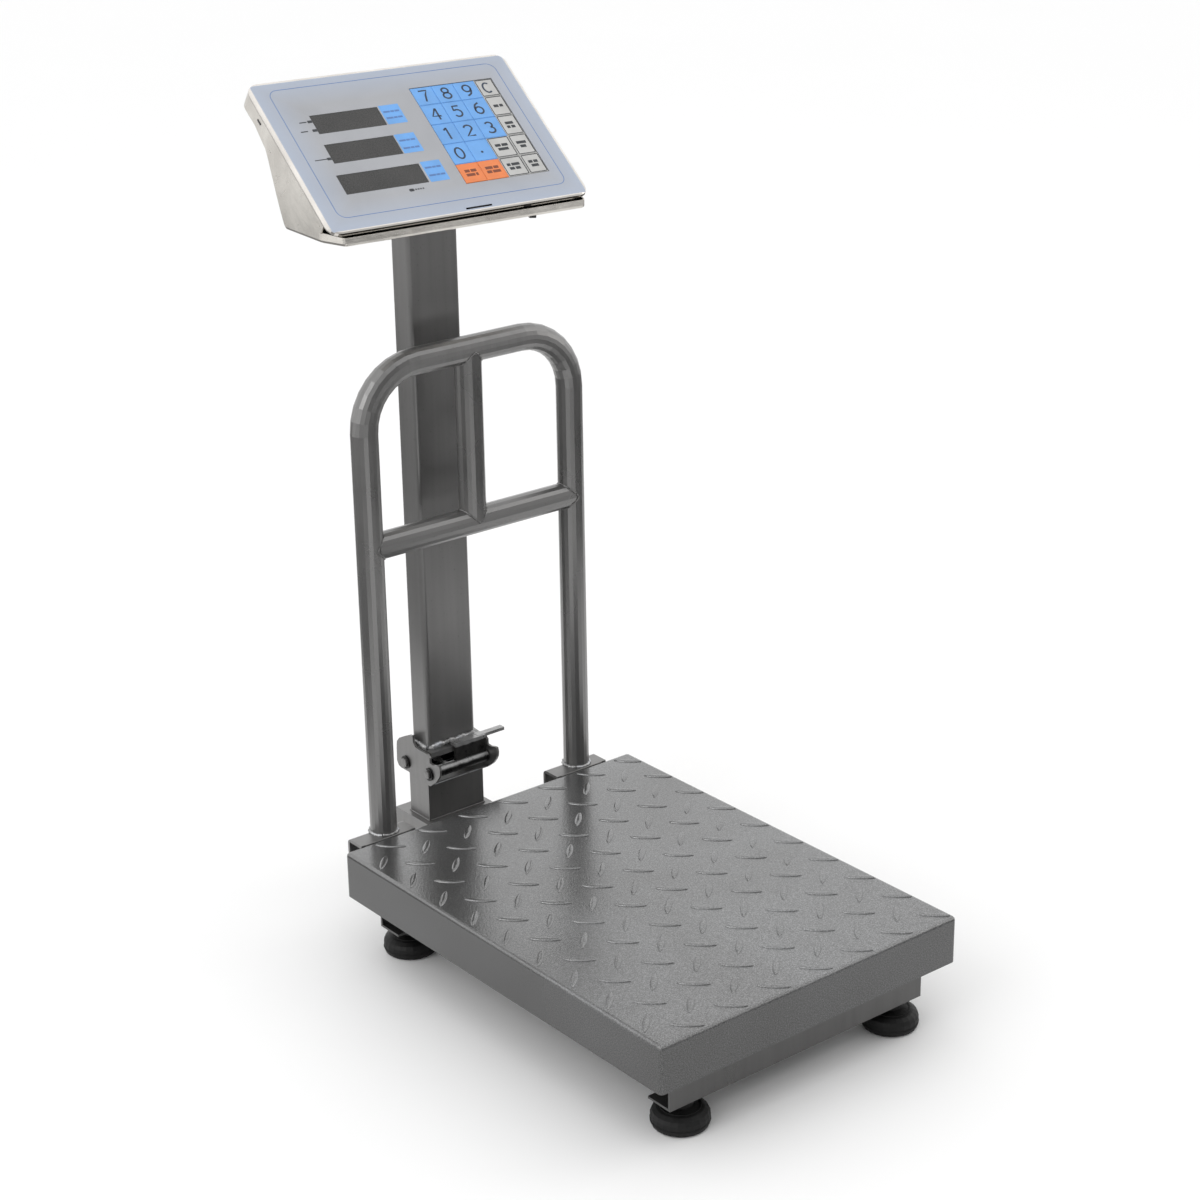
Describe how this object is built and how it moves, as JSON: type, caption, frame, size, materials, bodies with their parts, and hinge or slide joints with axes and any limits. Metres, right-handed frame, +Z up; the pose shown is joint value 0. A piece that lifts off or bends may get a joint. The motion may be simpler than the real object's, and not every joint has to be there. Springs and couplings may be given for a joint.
{
  "type": "platform shipping scale",
  "caption": "Floor-standing platform weighing scale with a checker-plate pan, guard rail, folding column, latch and a tilted keypad head with display windows.",
  "frame": {"origin": "on the floor, under the middle of the whole object's box", "axes": "+X to the operator's right, +Y from the operator towards the column, +Z up"},
  "size_m": [0.3, 0.5508, 0.6951],
  "materials": {
    "grey_steel": "semi-gloss silver-grey",
    "tread_plate": "semi-gloss silver-grey checker plate",
    "dark_steel": "dark",
    "bright_steel": "bright",
    "stainless": "polished",
    "aluminium": "milled",
    "black_rubber": "matt",
    "face_print": "smooth printed film",
    "window_glass": "glossy dark",
    "blue_key": "satin",
    "orange_key": "satin",
    "grey_key": "satin",
    "circuit_board": "matt",
    "battery_case": "matt",
    "black_plastic": "matt"
  },
  "bodies": {
    "base": {"front_crossmember": "grey_steel", "rear_crossmember": "grey_steel", "left_side_member": "grey_steel", "right_side_member": "grey_steel", "cell_base_plate": "grey_steel", "column_base_bracket": "grey_steel", "column_socket": "grey_steel", "hinge_bracket": "dark_steel", "hinge_pin": "bright_steel", "latch_rod": "bright_steel", "latch_spring": "bright_steel", "load_cell": "aluminium", "pan_spider": "grey_steel", "pan_buffer_front_left": "black_rubber", "pan_buffer_front_right": "black_rubber", "pan_buffer_rear_left": "black_rubber", "pan_buffer_rear_right": "black_rubber"},
    "platform": {"pan_tray": "tread_plate", "rail_hoop": "grey_steel", "rail_crossbar": "grey_steel", "rail_stile": "grey_steel", "rail_foot_left": "grey_steel", "rail_foot_right": "grey_steel"},
    "column": {"column_tube": "grey_steel", "column_shoe": "grey_steel", "head_mount": "grey_steel", "head_shell": "stainless", "bezel_frame": "stainless", "face_cover": "face_print", "window_weight": "window_glass", "window_unit_price": "window_glass", "window_total_price": "window_glass", "circuit_board": "circuit_board", "battery": "battery_case"},
    "latch": {"latch_pawl": "dark_steel"},
    "foot_front_left": {"foot_front_left": "black_rubber"},
    "foot_front_right": {"foot_front_right": "black_rubber"},
    "foot_rear_left": {"foot_rear_left": "black_rubber"},
    "foot_rear_right": {"foot_rear_right": "black_rubber"},
    "key_7": {"key_7": "blue_key"},
    "key_8": {"key_8": "blue_key"},
    "key_9": {"key_9": "blue_key"},
    "key_clear": {"key_clear": "grey_key"},
    "key_4": {"key_4": "blue_key"},
    "key_5": {"key_5": "blue_key"},
    "key_6": {"key_6": "blue_key"},
    "key_f1": {"key_f1": "grey_key"},
    "key_1": {"key_1": "blue_key"},
    "key_2": {"key_2": "blue_key"},
    "key_3": {"key_3": "blue_key"},
    "key_f2": {"key_f2": "grey_key"},
    "key_0": {"key_0": "blue_key"},
    "key_point": {"key_point": "blue_key"},
    "key_f5": {"key_f5": "grey_key"},
    "key_f3": {"key_f3": "grey_key"},
    "key_zero_set": {"key_zero_set": "orange_key"},
    "key_tare": {"key_tare": "orange_key"},
    "key_f6": {"key_f6": "grey_key"},
    "key_f4": {"key_f4": "grey_key"},
    "power_rocker": {"power_rocker": "black_plastic"}
  },
  "joints": [
    {"name": "column_fold", "type": "hinge", "parent": "base", "child": "column", "pos_m": [0, 0.2054, 0.1095], "axis": [-1, 0, 0], "range_deg": [0, 90]},
    {"name": "latch_release", "type": "hinge", "parent": "base", "child": "latch", "pos_m": [0, 0.1711, 0.1098], "axis": [1, 0, 0], "range_deg": [0, 35], "stiffness_Nm_per_rad": 0.15, "springref_deg": -20.05},
    {"name": "platform_lift", "type": "slide", "parent": "base", "child": "platform", "axis": [0, 0, 1], "range_m": [0, 0.05]},
    {"name": "foot_front_left_level", "type": "slide", "parent": "base", "child": "foot_front_left", "axis": [0, 0, -1], "range_m": [-0.002, 0.01]},
    {"name": "foot_front_right_level", "type": "slide", "parent": "base", "child": "foot_front_right", "axis": [0, 0, -1], "range_m": [-0.002, 0.01]},
    {"name": "foot_rear_left_level", "type": "slide", "parent": "base", "child": "foot_rear_left", "axis": [0, 0, -1], "range_m": [-0.002, 0.01]},
    {"name": "foot_rear_right_level", "type": "slide", "parent": "base", "child": "foot_rear_right", "axis": [0, 0, -1], "range_m": [-0.002, 0.01]},
    {"name": "key_7_press", "type": "slide", "parent": "column", "child": "key_7", "axis": [0.0473, 0.5955, -0.802], "range_m": [0, 0.0007], "stiffness_N_per_m": 200, "springref_m": -0.0006},
    {"name": "key_8_press", "type": "slide", "parent": "column", "child": "key_8", "axis": [0.0473, 0.5955, -0.802], "range_m": [0, 0.0007], "stiffness_N_per_m": 200, "springref_m": -0.0006},
    {"name": "key_9_press", "type": "slide", "parent": "column", "child": "key_9", "axis": [0.0473, 0.5955, -0.802], "range_m": [0, 0.0007], "stiffness_N_per_m": 200, "springref_m": -0.0006},
    {"name": "key_clear_press", "type": "slide", "parent": "column", "child": "key_clear", "axis": [0.0473, 0.5955, -0.802], "range_m": [0, 0.0007], "stiffness_N_per_m": 200, "springref_m": -0.0006},
    {"name": "key_4_press", "type": "slide", "parent": "column", "child": "key_4", "axis": [0.0473, 0.5955, -0.802], "range_m": [0, 0.0007], "stiffness_N_per_m": 200, "springref_m": -0.0006},
    {"name": "key_5_press", "type": "slide", "parent": "column", "child": "key_5", "axis": [0.0473, 0.5955, -0.802], "range_m": [0, 0.0007], "stiffness_N_per_m": 200, "springref_m": -0.0006},
    {"name": "key_6_press", "type": "slide", "parent": "column", "child": "key_6", "axis": [0.0473, 0.5955, -0.802], "range_m": [0, 0.0007], "stiffness_N_per_m": 200, "springref_m": -0.0006},
    {"name": "key_f1_press", "type": "slide", "parent": "column", "child": "key_f1", "axis": [0.0473, 0.5955, -0.802], "range_m": [0, 0.0007], "stiffness_N_per_m": 200, "springref_m": -0.0006},
    {"name": "key_1_press", "type": "slide", "parent": "column", "child": "key_1", "axis": [0.0473, 0.5955, -0.802], "range_m": [0, 0.0007], "stiffness_N_per_m": 200, "springref_m": -0.0006},
    {"name": "key_2_press", "type": "slide", "parent": "column", "child": "key_2", "axis": [0.0473, 0.5955, -0.802], "range_m": [0, 0.0007], "stiffness_N_per_m": 200, "springref_m": -0.0006},
    {"name": "key_3_press", "type": "slide", "parent": "column", "child": "key_3", "axis": [0.0473, 0.5955, -0.802], "range_m": [0, 0.0007], "stiffness_N_per_m": 200, "springref_m": -0.0006},
    {"name": "key_f2_press", "type": "slide", "parent": "column", "child": "key_f2", "axis": [0.0473, 0.5955, -0.802], "range_m": [0, 0.0007], "stiffness_N_per_m": 200, "springref_m": -0.0006},
    {"name": "key_0_press", "type": "slide", "parent": "column", "child": "key_0", "axis": [0.0473, 0.5955, -0.802], "range_m": [0, 0.0007], "stiffness_N_per_m": 200, "springref_m": -0.0006},
    {"name": "key_point_press", "type": "slide", "parent": "column", "child": "key_point", "axis": [0.0473, 0.5955, -0.802], "range_m": [0, 0.0007], "stiffness_N_per_m": 200, "springref_m": -0.0006},
    {"name": "key_f5_press", "type": "slide", "parent": "column", "child": "key_f5", "axis": [0.0473, 0.5955, -0.802], "range_m": [0, 0.0007], "stiffness_N_per_m": 200, "springref_m": -0.0006},
    {"name": "key_f3_press", "type": "slide", "parent": "column", "child": "key_f3", "axis": [0.0473, 0.5955, -0.802], "range_m": [0, 0.0007], "stiffness_N_per_m": 200, "springref_m": -0.0006},
    {"name": "key_zero_set_press", "type": "slide", "parent": "column", "child": "key_zero_set", "axis": [0.0473, 0.5955, -0.802], "range_m": [0, 0.0007], "stiffness_N_per_m": 200, "springref_m": -0.0006},
    {"name": "key_tare_press", "type": "slide", "parent": "column", "child": "key_tare", "axis": [0.0473, 0.5955, -0.802], "range_m": [0, 0.0007], "stiffness_N_per_m": 200, "springref_m": -0.0006},
    {"name": "key_f6_press", "type": "slide", "parent": "column", "child": "key_f6", "axis": [0.0473, 0.5955, -0.802], "range_m": [0, 0.0007], "stiffness_N_per_m": 200, "springref_m": -0.0006},
    {"name": "key_f4_press", "type": "slide", "parent": "column", "child": "key_f4", "axis": [0.0473, 0.5955, -0.802], "range_m": [0, 0.0007], "stiffness_N_per_m": 200, "springref_m": -0.0006},
    {"name": "power_rocker_tilt", "type": "hinge", "parent": "column", "child": "power_rocker", "pos_m": [0.05813, 0.1284, 0.5908], "axis": [-0.9969, 0.0792, 0], "range_deg": [0, 14]}
  ]
}
